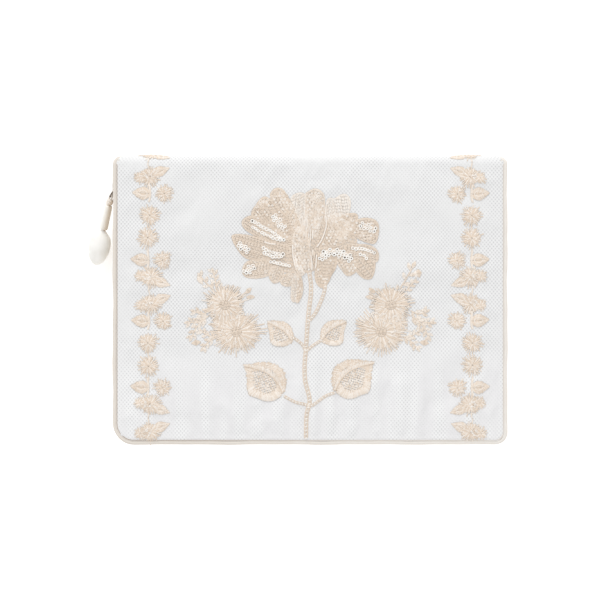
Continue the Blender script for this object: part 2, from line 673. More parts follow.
class Threads:
    """Raised stitches gathered in the cloth's flat coordinates and built as one mesh."""

    # A stitch's cross-section: five places across it and their heights
    ACROSS = np.array([-1.0, -0.72, 0.0, 0.72, 1.0])
    RISE = np.array([-0.35, 0.7, 1.0, 0.7, -0.35])

    def __init__(self):
        self.rings, self.tones, self.quads, self.caps = [], [], [], []
        self.ring_count = 0

    def stitch(self, path, width, tone, lift=0.0, crown=None, closed=False):
        """One thread along a path; its ends dive into the cloth unless it is a closed loop."""
        path = np.asarray(path, float)
        along = lengths_along(path)
        if along[-1] < 0.25:
            return
        crown = 0.26 * width if crown is None else crown
        lift = np.broadcast_to(np.asarray(lift, float), (len(path),))
        if closed:
            at = np.linspace(0, along[-1], len(path))
        else:
            tip = min(0.5 * width, 0.22 * along[-1])
            inner = np.linspace(tip, along[-1] - tip, max(len(path), 2))
            at = np.concatenate([[0], inner, [along[-1]]])
        fat, high = np.ones(len(at)), np.ones(len(at))
        if not closed:
            fat[[0, -1]], high[[0, -1]] = 0.45, -0.2
        centre = np.stack([np.interp(at, along, path[:, k]) for k in (0, 1)], axis=1)
        raised = np.interp(at, along, lift)
        run = np.gradient(centre, axis=0)
        if closed:
            run[0] = run[-1] = centre[1] - centre[-2]
        run /= np.maximum(np.linalg.norm(run, axis=1), 1e-9)[:, None]
        count = len(at)
        ring = np.column_stack([centre, run[:, 1], -run[:, 0], fat * width / 2, raised, high * crown])
        self.rings.append(ring)
        self.tones.append(np.full(count, tone))
        k = np.arange(5)
        low = (self.ring_count + np.arange(count - 1))[:, None] * 5
        quad = np.stack([low + k, low + (k + 1) % 5, low + 5 + (k + 1) % 5, low + 5 + k], axis=2)
        self.quads.append(quad.reshape(-1, 4))
        self.caps += [(self.ring_count * 5 + k)[::-1], (self.ring_count + count - 1) * 5 + k]
        self.ring_count += count

    def build(self, name, spread_out=skin):
        """One mesh of all the stitches; spread_out takes flat places and heights to points."""
        x, y, way_x, way_y, half, raised, crown = np.vstack(self.rings).T[:, :, None]
        flat_x = x + way_x * half * self.ACROSS
        flat_y = y + way_y * half * self.ACROSS
        points = spread_out(flat_x.ravel(), flat_y.ravel(), (raised + crown * self.RISE).ravel())
        faces = np.vstack(self.quads).tolist() + np.vstack(self.caps).tolist()
        obj = make_mesh(name, points, faces, THREAD)
        point_values(obj, "tone", np.repeat(np.concatenate(self.tones), 5))
        return obj

    # -- Stitched areas --
    def tatami(self, outline, angle, tone, lift=0.1, puff=0.5, pitch=0.62, run=2.4, vary=0.14, fat=1.12):
        """Fills an outline with rows of short staggered stitches, domed towards the middle."""
        shape = turned(outline, -angle)
        nxt = np.roll(shape, -1, axis=0)
        rows = np.arange(shape[:, 1].min() + pitch / 2, shape[:, 1].max(), pitch)
        for number, level in enumerate(rows):
            level = near(level, 0.08)
            crossing = (shape[:, 1] <= level) != (nxt[:, 1] <= level)
            a, b = shape[crossing], nxt[crossing]
            cuts = np.sort(a[:, 0] + (level - a[:, 1]) / (b[:, 1] - a[:, 1]) * (b[:, 0] - a[:, 0]))
            side = (number + 0.5) / len(rows)
            for low, high in zip(cuts[::2], cuts[1::2]):
                if high - low < 0.5:
                    continue
                marks = np.arange(low - rng.uniform(0, run), high, run)
                marks = [low] + [m for m in marks if low + 0.8 < m < high - 0.8] + [high]
                for start, end in zip(marks[:-1], marks[1:]):
                    mid = ((start + end) / 2 - low) / (high - low)
                    dome = math.sqrt(max(0.0, 4 * mid * (1 - mid)) * max(0.0, 4 * side * (1 - side)))
                    line = turned([(start, level), (end, level)], angle)
                    self.stitch(line, pitch * fat, near(tone, vary), lift + puff * dome)

    def edge(self, outline, width, tone, lift=0.3, pitch=0.6, slant=0.35, vary=0.12):
        """A satin border: short stitches laid across the outline all the way round."""
        loop = resample(np.vstack([outline, outline[:1]]), pitch)
        run, across = directions(loop)
        for place, way in zip(loop[:-1], (across + slant * run)[:-1]):
            reach = width / 2 * rng.uniform(0.85, 1.1)
            self.stitch([place - way * reach, place + way * reach], pitch * 1.15, near(tone, vary), lift)

    def line(self, path, width, tone, lift=0.3):
        """One long thread along a smooth path."""
        self.stitch(smooth_path(path, 1.2), width, tone, lift)

    def loop_knot(self, centre, radius, tone, lift, thread=0.62):
        """A small ring of thread with a dark hole, as a knotted stitch leaves."""
        turns = np.linspace(0, 2 * math.pi, 8) + rng.uniform(0, 1)
        squeeze = rng.uniform(0.75, 1.1)
        ring = np.stack([np.cos(turns) * radius, np.sin(turns) * radius * squeeze], axis=1)
        centre = np.asarray(centre, float)
        across = np.array([radius * 0.6, 0])
        self.stitch(ring + centre, thread, tone, lift, closed=True)
        self.stitch([centre - across, centre + across], radius * 1.2, HOLE, lift - 0.12, 0.0)

    def knots(self, path, width, tone, lift=0.6, gap=1.8, vary=0.06, radius=0.78, thread=0.62):
        """A band of knotted stitches along a path."""
        line = smooth_path(path, gap)
        lanes = max(1, int(round(width / gap)))
        for number, (place, way) in enumerate(zip(line, directions(line)[1])):
            for lane in range(lanes):
                off = (lane - (lanes - 1) / 2) * gap + (gap / 2 if number % 2 and lanes > 1 else 0)
                spot = place + way * off + np.array([near(0, 0.3), near(0, 0.3)])
                size = radius * rng.uniform(0.85, 1.15)
                self.loop_knot(spot, size, near(tone, vary), lift, thread)

    def speckle(self, outline, tones, lift, gap=1.25):
        """Scatters knotted stitches of several tones over an outline."""
        low, high = np.min(outline, axis=0), np.max(outline, axis=0)
        for row, y in enumerate(np.arange(low[1], high[1], gap * 0.87)):
            for x in np.arange(low[0] + (row % 2) * gap / 2, high[0], gap):
                spot = (near(x, 0.2), near(y, 0.2))
                if inside(spot, outline):
                    self.loop_knot(spot, 0.45 * rng.uniform(0.8, 1.2), rng.choice(tones), lift)

    def rope(self, path, width, lift=0.15, pitch=1.15):
        """A corded line: light beads between slanted darker stitches."""
        line = smooth_path(path, pitch)
        run, across = directions(line)
        for offset in (-0.36, 0.36):
            self.stitch(line + across * width * offset, width * 0.4, 0.2, lift - 0.05)
        for number, (place, forward, way) in enumerate(zip(line, run, across)):
            slant = way * width * 0.34 + forward * pitch * 0.42
            bright, share = (0.42, 0.75) if number % 2 else (0.95, 0.95)
            fat = pitch * share
            self.stitch([place - slant, place + slant], fat, near(bright, 0.08), lift + 0.12, fat * 0.42)

    def rays(self, centre, inner, outer, count, width, tones, lift, ragged=0.12, start=0.0, crown=None,
             wide=1.0):
        """Stitches that fan out from a centre, with uneven ends; wide stretches the fan sideways."""
        centre = np.asarray(centre)
        for number in range(count):
            angle = start + 2 * math.pi * near(number, 0.18) / count
            way = np.array([math.cos(angle) * wide, math.sin(angle)])
            reach = outer * rng.uniform(1 - ragged, 1 + ragged * 0.6)
            reach *= 1 + 0.06 * math.sin(3 * angle + outer)
            bow = np.array([-way[1], way[0]]) * near(0, 0.25)
            path = [centre + way * inner, centre + way * (inner + reach) / 2 + bow, centre + way * reach]
            tone = near(tones[number % len(tones)], 0.1)
            self.stitch(path, width * rng.uniform(0.85, 1.15), tone, lift + rng.uniform(0, 0.12), crown)


def inside(point, outline):
    """Whether a point lies inside a closed outline."""
    a, b = np.asarray(outline), np.roll(outline, -1, axis=0)
    across = (a[:, 1] > point[1]) != (b[:, 1] > point[1])
    a, b = a[across], b[across]
    hits = point[0] < a[:, 0] + (point[1] - a[:, 1]) / (b[:, 1] - a[:, 1]) * (b[:, 0] - a[:, 0])
    return bool(hits.sum() % 2)


def ellipse(centre, rx, ry, angle=0.0, count=40):
    turns = np.arange(count) * 2 * math.pi / count
    oval = np.stack([rx * np.cos(turns), ry * np.sin(turns)], axis=1)
    return turned(oval, angle) + np.asarray(centre, float)


# ---- The motifs, in flat cloth coordinates ----
# Thread tones
TAN, MIXED, CREAM, WHITE = 0.12, 0.42, 0.78, 1.2


def blob(points):
    """A smooth closed outline through a few points."""
    return smooth_path(points, 1.0, True)[:-1]


def shrunk(outline, share):
    middle = np.mean(outline, axis=0)
    return middle + (outline - middle) * share


def heading(base, tip):
    """The two ends as arrays, the way from one to the other, the way to its side, and the distance."""
    base, tip = np.array(base, float), np.array(tip, float)
    length = np.linalg.norm(tip - base)
    way = (tip - base) / length
    return base, tip, way, np.array([-way[1], way[0]]), length


def feather_leaf(t, base, tip, width, tone, lift, pitch=0.58):
    """An almond leaf with a pointed tip: slanted stitches meet along a vein, with a light oval inside."""
    base, tip, way, side, length = heading(base, tip)
    slant = 0.14
    for share in np.arange(-slant, 1.0 - slant, pitch / length):
        root = base + way * length * max(0.0, share)
        reach = share + slant
        half = width / 2 * math.sin(math.pi * reach ** 0.74) * rng.uniform(0.93, 1.05)
        for hand in (-1, 1):
            end = base + way * length * reach + side * hand * half
            t.stitch([root, (root + end) / 2, end], pitch * 1.2, near(tone, 0.2), lift)
    middle = base + way * length * 0.4
    oval = ellipse(middle, length * 0.22, width * 0.22, math.atan2(way[1], way[0]), 12)
    t.stitch(np.vstack([oval, oval[:1]]), 0.6, 0.62, lift + 0.12, closed=True)
    t.stitch([middle - way * length * 0.14, middle + way * length * 0.1 + side * 0.3], 0.5, -0.1, lift + 0.16)


def drop(t, base, tip, width, tone, lift=0.2):
    """A small leaf or bud of lengthwise stitches."""
    base, tip, way, side, length = heading(base, tip)
    lanes = max(3, int(round(width / 0.55)))
    for lane in range(lanes):
        off = (lane / (lanes - 1) - 0.5) * width
        short = 0.28 * abs(2 * lane / (lanes - 1) - 1)
        belly = (base + tip) / 2 + side * off
        ends = (base + (belly - base) * short, tip + (belly - tip) * short * 0.8)
        t.stitch([ends[0], belly, ends[1]], 0.62, near(tone, 0.15), lift)


def fringe(t, centre, radius, rows, inner, lift, wide=1.0):
    """Rows of fine rays, each shorter and higher; a row is its share of the radius, count and tones."""
    for number, (share, count, tones) in enumerate(rows):
        reach = radius * share
        t.rays(centre, inner, reach, count, 0.72, tones, lift + 0.11 * number, 0.2, reach, 0.18, wide)


def outward(centre, far, angle):
    return centre[0] + far * math.cos(angle), centre[1] + far * math.sin(angle)


def daisy(t, centre, radius, eye, lift, wide=1.0):
    """A many-rayed flower: rows of fine ragged stitches round a solid eye."""
    t.tatami(ellipse(centre, radius * 0.74 * wide, radius * 0.74), 0.5, 0.2, lift, 0.1, 0.8)
    rows = ((1.04, 60, (0.1, 0.5, 0.25, 0.6)), (0.9, 56, (0.6, 0.1, 0.35)),
            (0.74, 42, (0.05, 0.62, 0.3)), (0.54, 30, (0.65, 0.1)))
    fringe(t, centre, radius, rows, eye[0] * 0.8, lift + 0.02, wide)
    for number in range(26):
        angle = rng.uniform(0, 2 * math.pi)
        far = radius * rng.uniform(0.42, 0.92)
        t.loop_knot(outward(centre, far, angle), 0.46, 0.8, lift + 0.5, 0.5)
    t.tatami(ellipse(centre, *eye), 0.2, 0.2, lift + 0.55, 0.25, 0.5, 2.0)


def rosette(t, centre, radius, lift=0.05):
    """A border flower: rows of fine ragged rays with a tan heart."""
    t.tatami(ellipse(centre, radius * 0.68, radius * 0.68), rng.uniform(0, 3), 0.1, lift, 0.1, 0.8)
    rows = ((1.04, 26, (0.1, 0.5, 0.3)), (0.84, 21, (0.62, 0.08)), (0.62, 14, (-0.1, 0.62)),
            (0.38, 8, (-0.15, 0.5)))
    fringe(t, centre, radius, rows, 0.3, lift + 0.04)
    for number in range(4):
        angle = rng.uniform(0, 2 * math.pi)
        t.loop_knot(outward(centre, 2.6, angle), 0.4, 0.7, lift + 0.5, 0.45)


def composite(t, centre, out, up):
    """The larger border flower: knotted heart, side disc and a leaf that points inwards."""
    x, y = centre
    feather_leaf(t, (x - out * 2.6, y + up * 1.4), (x - out * 12.6, y + up * 4.9), 6.4, 0.42, 0.15)
    side = (x + out * 5.4, y - up * 1.0)
    t.tatami(ellipse(side, 2.6, 2.6), 0.9, 0.15, 0.05, 0.1, 0.8)
    fringe(t, side, 1.0, ((4.0, 18, (0.12, 0.55)), (2.7, 12, (0.6, -0.05))), 0.3, 0.1)
    t.tatami(ellipse(centre, 5.0, 4.2), 0.4, 0.12, 0.1, 0.1, 0.8)
    rows = ((6.6, 30, (0.12, 0.58, 0.3)), (5.2, 24, (0.64, 0.08)), (3.8, 16, (-0.1, 0.58)))
    fringe(t, (x - out * 0.8, y - up * 0.4), 1.0, rows, 0.4, 0.15)
    t.speckle(ellipse((x + out * 0.6, y), 2.5, 2.2), (0.1, 0.95, 0.5), 0.62, 1.5)
    t.line([(x, y + up * 4.6), (x + out * 0.6, y + up * 8.0)], 0.9, 0.5, 0.15)


def sprig(t, path, leaf, first, spacing, tones=(0.42, 0.64)):
    """A thin stem with small leaves on both sides."""
    line = smooth_path(path, 0.8)
    t.line(path, 0.85, 0.3, 0.15)
    run, _ = directions(line)
    for number, index in enumerate(range(int(first / 0.8), len(line), max(1, int(spacing / 0.8)))):
        hand = 1 if number % 2 else -1
        way = turned([run[index]], hand * 0.75)[0]
        drop(t, line[index] + way * 0.4, line[index] + way * leaf, leaf * 0.36, tones[number % len(tones)])
    drop(t, line[-2], line[-1] + run[-1] * leaf * 0.8, leaf * 0.36, tones[0])


# Each petal: its outline, its tone, how high it lies and the way its stitches run, in degrees
PETALS = (
    (((-11.5, 61), (-8.5, 63.5), (-4.5, 64), (-2.5, 61), (-1.5, 50.5), (-0.5, 36), (-4, 32), (-7.5, 46),
     (-11, 56)), CREAM - 0.12, 0.1, 84),
    (((9.5, 56.5), (11, 60.5), (15, 60.5), (18, 62.5), (21.5, 63), (24, 59.5), (23.5, 53), (20, 48),
     (14.5, 46.5), (9, 46.5)), CREAM - 0.05, 0.1, 98),
    (((-3, 62.5), (-0.5, 65), (3, 66.5), (6.5, 65), (8.5, 61.5), (8.5, 54), (6, 44), (3.5, 37), (0.5, 42),
     (-2.5, 52)), MIXED, 0.15, 95),
    (((11.5, 52), (16.5, 52.5), (21.5, 51.5), (27.5, 51.5), (28.5, 48), (26.5, 40.5), (21.5, 35.5),
     (16.5, 32), (5.5, 30), (9, 38.5)), TAN + 0.08, 0.2, 70),
    (((26, 46.5), (31, 48.5), (36, 48.5), (40, 46.5), (41, 42), (40, 36), (38, 33.5), (33.5, 34.5),
     (28, 37), (24.5, 41)), TAN + 0.12, 0.3, 12),
    (((26, 26), (33.5, 25.5), (38.5, 22.5), (38, 16), (36, 12.5), (32, 13), (28, 16.5), (24.5, 22)),
     TAN + 0.05, 0.15, -52),
    (((15.5, 28), (22.5, 27), (28, 23), (27.5, 17.5), (25, 15), (22, 14.5), (19, 18), (16, 22.5)),
     TAN + 0.12, 0.22, -60),
    (((4, 26), (9.5, 29), (14.5, 26.5), (15.5, 20), (12.5, 14.5), (10.5, 10), (7.5, 7), (4.5, 9),
     (3, 14.5)), TAN, 0.3, 80),
    (((21.5, 33), (28, 33), (35, 32.5), (39.5, 30), (41, 26), (39.5, 22.5), (33.5, 24), (26, 25),
     (20, 27)), TAN + 0.1, 0.36, -8),
    (((-40.5, 18), (-38, 22.5), (-30.5, 24), (-22.5, 23.5), (-19.5, 20.5), (-22, 16.5), (-28, 13.5),
     (-35, 13), (-39.5, 14.5)), TAN + 0.16, 0.15, 10),
    (((-47, 38), (-41.5, 39), (-32.5, 37.5), (-23, 35.5), (-13, 32.5), (-11.5, 28), (-20.5, 25.5),
     (-31.5, 24), (-38.5, 25), (-44, 31)), TAN + 0.03, 0.25, -16),
    (((-24, 62.5), (-22, 66), (-19, 67), (-16, 65.5), (-13.5, 61.5), (-10, 56), (-6, 47.5), (-3.5, 37.5),
     (-8.5, 40.5), (-14.5, 50.5), (-21.5, 58)), TAN + 0.12, 0.28, -62),
    (((-35, 50.5), (-31.5, 58), (-28, 61.5), (-24.5, 60.5), (-20, 55.5), (-12.5, 48), (-9.5, 38.5),
     (-14.5, 36), (-25, 44)), TAN, 0.36, -48),
    (((-41, 46), (-38, 49.5), (-32.5, 50), (-25, 46.5), (-16, 40.5), (-10.5, 35.5), (-11, 32), (-20, 34),
     (-30.5, 37.5), (-38, 41.5)), TAN + 0.04, 0.44, -32),
    (((-24.5, 14.5), (-24, 19), (-19.5, 20.5), (-16.5, 18), (-16, 13.5), (-19.5, 10.5), (-22.5, 10.5)),
     TAN + 0.22, 0.25, 70),
    (((-17.5, 10.5), (-16, 14.5), (-11.5, 16), (-10, 13), (-11.5, 8.5), (-15.5, 8.5)), CREAM - 0.4, 0.3,
     60),
    (((-11, 7.5), (-10.5, 13), (-8.5, 16), (-7, 13.5), (-7, 5), (-8.5, -1), (-11, 0)), CREAM - 0.25, 0.3,
     84),
    (((-8.5, 16), (-5.5, 13.5), (-4.5, 7), (-5.5, 1.5), (-8, -2), (-8, 5), (-7.5, 11)), TAN + 0.12, 0.4,
     80),
    (((-10.5, 36), (-7.5, 44), (-3.5, 41), (-1, 34), (0.5, 24), (-2.5, 18), (-5, 14), (-8.5, 18),
     (-10, 27)), MIXED, 0.55, 95),
)
# The petals with these tones are grainy: knotted stitches lie scattered over them
GRAINY_TONES = (MIXED, TAN, TAN + 0.08, TAN + 0.12)
# Each knotted band: its path and its width
WHITE_BANDS = (
    (((-34.5, 47), (-29, 44), (-22.5, 40.5), (-16, 36)), 2.0),
    (((-34, 43.5), (-28.5, 40), (-22.5, 37.3), (-18, 36)), 2.0),
    (((-21.5, 50), (-18.8, 47), (-16, 43.5)), 3.2),
    (((-28, 31), (-23, 28.4), (-16.5, 27)), 2.0),
    (((-27.4, 28), (-22.5, 25.9), (-17, 26)), 1.4),
    (((-23.5, 22.5), (-19.5, 22), (-16, 21), (-12.5, 20)), 2.6),
    (((6.5, 24.5), (8, 27.5), (11.5, 28.8), (16.5, 28.8), (21.5, 27), (24.6, 24.4)), 3.9),
    (((-42.5, 33), (-37, 30)), 4.0),
    (((-38.6, 16.6), (-34.4, 20.3)), 3.8),
    (((25.5, 30.8), (32, 30.2), (38, 28)), 2.2),
    (((30, 27.2), (32.4, 26.6), (33.5, 24.6)), 1.8),
    (((30.6, 45), (34.4, 43.6), (38.4, 42)), 3.6),
)
SPECKLED_BANDS = (
    (((-15.5, 61), (-12, 54.5), (-7.5, 47), (-5.5, 39), (-6, 31)), 6.0),
    (((-22, 61), (-19.5, 64.5), (-16.5, 62.5)), 3.0),
    (((-31, 55.5), (-28.5, 58.5), (-25.5, 58.5)), 3.0),
    (((0.5, 61), (3.2, 62.5), (6.2, 59.5), (5.6, 50), (4.4, 43)), 4.2),
    (((14, 48.5), (19, 45.5), (22, 40), (17, 37)), 7.0),
    (((-7.5, 24), (-4.5, 19)), 5.4),
    (((24.5, 48), (22, 42), (17.5, 36)), 4.0),
)
HEART = ((-32, 22), (-34, 40), (-20, 50), (-8, 56), (8, 55), (20, 44), (28, 36), (24, 27), (8, 20), (-2, 16),
         (-14, 16))
# Long light threads where petals meet
PETAL_LINES = (
    ((9.5, 50.5), (9.5, 43.5), (7, 36), (4, 31.5)), ((-9, 27), (-7.5, 20.5), (-3, 15.5)),
    ((-10.5, 33), (-10.2, 26), (-8.6, 19)), ((0.5, 26.5), (1.2, 21.5), (1, 17.5)),
    ((3.8, 27), (3.6, 22), (3, 18.5)), ((-27.6, 34.6), (-24, 33.6), (-20.5, 33.2)),
)


def make_peony():
    t = Threads()
    t.tatami(blob(HEART), 1.2, TAN + 0.08, 0.0, 0.1, 0.8)
    for points, tone, level, way in PETALS:
        shape = blob(points)
        t.tatami(shape, math.radians(way), tone, 0.6 * level, 0.45, 0.58, 1.9, 0.2)
        t.edge(shrunk(shape, 0.965), 1.1, tone + 0.04, 0.6 * level + 0.06, 0.62, 0.5, 0.16)
        if tone in GRAINY_TONES:
            t.speckle(shrunk(shape, 0.86), (tone - 0.5, tone + 0.25, 0.85), 0.6 * level + 0.42, 2.15)
    for path, width in SPECKLED_BANDS:
        t.knots(path, width, 0.5, 0.5, 1.8, 0.3, 0.74, 0.6)
    for path, width in WHITE_BANDS:
        t.stitch(smooth_path(path, 0.8), 0.9 * width, 0.3, 0.68, 0.12)
        t.knots(path, width, WHITE - 0.1, 0.9, 1.95, 0.06, 0.86, 0.74)
    for number in range(46):
        x, y = rng.uniform(-4.6, 3.6), rng.uniform(30, 50)
        x *= 0.4 + 0.6 * smoothstep(y, 28, 44)
        path = [(x, y), (x * 1.06, y + 2.2), (x * 1.16, y + rng.uniform(4, 6))]
        t.stitch(path, 0.75, rng.choice((0.1, 0.4, 0.65, 0.85)), 0.45)
    for path in PETAL_LINES:
        t.line(path, 0.9, CREAM, 0.65)
    for number in range(26):
        x, y = rng.uniform(-1.2, 2.8), rng.uniform(17.5, 27)
        t.stitch([(x, y), (x * 0.95, y + rng.uniform(3, 4.5))], 0.75, rng.choice((0.1, 0.35, 0.6)), 0.45)
    return t.build("peony_threads")


LOWER_LEAF = ((38, -37.5), (34, -36.5), (29, -35.5), (23.5, -35.5), (18.5, -37), (14, -41), (12.5, -47.5),
              (13, -52), (15.5, -55.5), (20, -58.5), (25, -59), (30.5, -57), (35, -55), (36.5, -49.5),
              (37, -43))
LOWER_VEIN = ((15, -54), (18.5, -47.5), (24, -42.5), (31, -39.5), (38, -37.8))
UPPER_LEAF = ((22, -13), (16.5, -12), (11, -13), (7.5, -16.5), (6, -21.5), (7, -25.5), (11.5, -27.5),
              (17, -27.5), (20, -25.5), (21, -19))
UPPER_VEIN = ((7.5, -24), (12, -18.5), (17, -15.5), (21.5, -13.5))


def net_leaf(t, points, vein, hand, shift):
    """A leaf: an open net, ragged edge stitches, scattered knots, and a soft light band along its vein."""
    def place(spots):
        return [(hand * (x + shift[0]), y + shift[1]) for x, y in spots]

    shape = blob(place(points))
    centre = np.mean(shape, axis=0)
    for lean, tone in ((1.2, 0.3), (-0.35, 0.75)):
        t.tatami(shrunk(shape, 0.9), lean * hand, tone, 0.03, 0.2, 1.4, 3.4, 0.2, 0.5)
    for ring, share, deep in ((1.0, 0.26, 0.1), (0.82, 0.26, 0.22)):
        loop = resample(np.vstack([shape, shape[:1]]), 0.66)
        for spot in loop[:-1]:
            outer = centre + (spot - centre) * ring * rng.uniform(0.95, 1.03)
            inner = outer + (centre - outer) * share * rng.uniform(0.8, 1.3)
            t.stitch([inner, outer], 0.66, near(0.28, 0.3), deep)
    t.speckle(shrunk(shape, 0.55), (0.1, 0.75, 0.4), 0.3, 2.1)
    band = smooth_path(place(vein), 0.62)
    for number, (spot, way, across) in enumerate(zip(band, *directions(band))):
        long = 2.8 * math.sin(math.pi * min(1.0, 0.12 + 0.8 * number / len(band))) * rng.uniform(0.75, 1.15)
        tip = spot - across * hand * long + way * 0.8
        t.stitch([spot, tip], 0.66, 0.66 + rng.uniform(-0.25, 0.15), 0.4)
    t.stitch(band, 0.65, 0.15, 0.5)
    for spot in smooth_path(place(points[len(points) // 2 + 1:-1]), 0.6):
        inner = spot + (centre - spot) * rng.uniform(0.28, 0.42)
        t.stitch([inner, spot], 0.68, 0.56 + rng.uniform(-0.22, 0.2), 0.36)


def make_stem():
    t = Threads()
    t.rope([(-0.7, 18), (0.6, 6.2), (-1.1, -9.5), (-2.5, -29.3), (-3.3, -39.5), (-2.9, -48.5), (-0.3, -59.9),
            (-2.1, -68.9), (-2.5, -82.6)], 2.3, 0.2)
    t.rope([(8.9, 12.5), (8.8, 6.5), (7, 0.5), (3.4, -7.6), (-0.4, -12.3)], 1.9, 0.2)
    for stalk in (
        ((6.6, -24.2), (1.5, -27.5), (-2.1, -30.5)), ((-9.9, -22.7), (-5.1, -26.3), (-2.7, -30.5)),
        ((-15.5, -57.6), (-9, -61), (-3.9, -62.3), (-0.9, -63.5)),
        ((14.7, -55.4), (9.3, -57.5), (1.5, -62.9), (-0.9, -62.9)),
    ):
        t.rope(stalk, 1.6, 0.15, 1.0)
    for points, vein, hand, shift in (
        (UPPER_LEAF, UPPER_VEIN, 1, (-0.4, 0.2)), (UPPER_LEAF, UPPER_VEIN, -1, (3.6, -0.2)),
        (LOWER_LEAF, LOWER_VEIN, 1, (0, 0)), (LOWER_LEAF, LOWER_VEIN, -1, (1.4, -1.6)),
    ):
        net_leaf(t, points, vein, hand, shift)
    return t.build("stem_threads")


# Each sprig: its stem's path, its leaves' length, where they begin and how far apart they are.
# Each drop: its base, its tip, its width and its tone. x grows away from the peony on both sides.
LEFT_TOP = (
    (((55.5, 7.5), (56.6, 11.5), (57.8, 16)), 4.2, 1.0, 2.0),
    (((57.5, 6), (61, 9), (65, 13.5)), 4.4, 1.0, 2.6),
    ((64, 9), (67.5, 14.5), 2.6, 0.45),
)
RIGHT_TOP = (
    (((53.5, 6.5), (57, 12), (61, 19.2)), 5.6, 2.6, 3.8),
    ((64.2, 18.6), (65.2, 13.2), 3.4, 0.2), ((62.6, 18), (63.4, 12.8), 1.6, 0.75),
    (((57, 5), (59.4, 7.8), (61.6, 10.4)), 3.6, 1.0, 2.4),
)
BOTH_SIDES = (
    (((60, -6.5), (64.5, -8.5), (68.5, -7.2)), 4.2, 0.8, 2.2),
    (((60.5, -9.5), (66, -13), (72, -13.6)), 4.4, 0.8, 2.4),
    (((62, -10.5), (67.5, -16), (70.6, -22)), 4.2, 0.8, 2.4),
    (((56, -22), (60.5, -21.5), (64.5, -19)), 3.8, 0.8, 2.2),
    (((56, -22.5), (60.5, -25), (63.5, -28.5)), 4.0, 0.8, 2.2),
    ((65.2, -25.2), (71, -26), 3.0, 0.15), ((38.8, 3.6), (35, 7.2), 2.4, 0.2),
    ((38.4, 1.4), (32.8, 1.8), 2.2, 0.25),
)


def make_bouquet(hand):
    """Two daisies with sprigs round them; hand is -1 on the left and 1 on the right."""
    t = Threads()

    def at(*points):
        return [(hand * x, y) for x, y in points]

    for first, *rest in (RIGHT_TOP if hand > 0 else LEFT_TOP) + BOTH_SIDES:
        if np.ndim(first) == 2:
            sprig(t, at(*first), *rest)
        else:
            drop(t, *at(first, rest[0]), *rest[1:])
    upper, lower = at((48.1 if hand > 0 else 51.0, -3.1), (42.4 if hand > 0 else 44.1, -19.0))
    for spot in at((53.0, -13.0), (48.5, -12.0), (44.5, -9.5)):
        t.rays(spot, 0.3, 5.4, 26, 0.75, (0.15, 0.55), 0.2, 0.2, 0.0, 0.16)
    daisy(t, lower, 13.2, (3.2, 2.9), 0.05, 1.2)
    daisy(t, upper, 12.4, (3.4, 2.7), 0.22)
    return t.build("left_bouquet_threads" if hand < 0 else "right_bouquet_threads")


# The border's middle line, where its first flower sits, and how far on its pattern repeats
BORDER_X = 96.3
BORDER_TOP = 74.2
BORDER_PERIOD = 76.3
BORDER_STEPS = (
    ("composite up", 0.0), ("pair", -10.3), ("rosette", -23.5),
    ("rosette", -37.1), ("pair", -50.0), ("composite down", -60.6),
)


def border_motif(t, kind, x, y, out):
    if kind.startswith("composite"):
        composite(t, (x, y), out, 1 if kind.endswith("up") else -1)
    elif kind == "rosette":
        rosette(t, (x, y), 6.4)
        t.line([(x, y - 6.0), (x + 0.3, y - 8.4)], 0.9, 0.45, 0.1)
    else:
        feather_leaf(t, (x - out * 0.6, y - 0.6), (x + out * 10.8, y + 0.4), 8.0, 0.34, 0.25)
        rosette(t, (x - out * 8.8, y - 0.4), 5.4)
        t.line([(x + out * 0.2, y - 5.5), (x - out * 0.6, y - 1.0), (x, y + 5.6)], 0.9, 0.45, 0.15)
        t.line([(x + out * 0.8, y - 5.5), (x, y - 1.0), (x + out * 0.6, y + 5.6)], 0.7, 0.7, 0.15)


def make_border(hand):
    """The running border at one end of the panel."""
    t = Threads()
    for block in range(3):
        for kind, offset in BORDER_STEPS:
            y = BORDER_TOP - block * BORDER_PERIOD + offset
            if y > FORE_Y + 8:
                border_motif(t, kind, hand * near(BORDER_X, 0.7), near(y, 0.4), hand)
    return t.build("left_border_threads" if hand < 0 else "right_border_threads")


def make_spine_border(back):
    """The border's flowers on one half of the spine."""
    t = Threads()
    for hand in (-1, 1):
        if not back:
            composite(t, (hand * BORDER_X, BORDER_TOP + 15.7), hand, -1)
        rosette(t, (hand * BORDER_X, SPINE_MID + (-8.2 if back else 0.6)), 4.0)

    def wrapped(x, s, rise):
        """Cloth points that may run past the middle of the spine."""
        points = skin(x, np.minimum(s, SPINE_MID), rise, back)
        past = np.maximum(s - SPINE_MID, 0)
        points[:, 2] += past if back else -past
        return points

    return t.build("spine_border_threads_lower" if back else "spine_border_threads_upper", wrapped)


for piece, node in (
    (make_peony(), "peony"), (make_stem(), "stem"), (make_bouquet(-1), "left_bouquet"),
    (make_bouquet(1), "right_bouquet"),
):
    settle(piece, "front_cover", (node + "_embroidery",))
for piece, node, body in (
    (make_border(-1), "left_border", "front_cover"), (make_border(1), "right_border", "front_cover"),
    (make_spine_border(False), "spine_border", "front_cover"),
    (make_spine_border(True), "spine_border", "back_cover"),
):
    settle(piece, body, (node + "_embroidery",), True)


# ---- The charm ----
def node_middle(node):
    low, high = box_mm(node)
    return (low + high) / 2


def unit(vector):
    return vector / np.linalg.norm(vector)


TUBE_MIDDLE = node_middle("tube_bead")
CHARM_WAY = unit(node_middle("pearl_drop") - TUBE_MIDDLE)
CHARM_SIDE = unit(np.cross(CHARM_WAY, (0, 0, 1)))
CHARM_LIFT = np.cross(CHARM_SIDE, CHARM_WAY)
TUBE_LENGTH, TUBE_R = 15.5, 2.5
NECK_LENGTH = 4.9
PEARL_LENGTH, PEARL_W, PEARL_T = 23.0, 13.4, 9.4
PEARL_GAP = 0.15


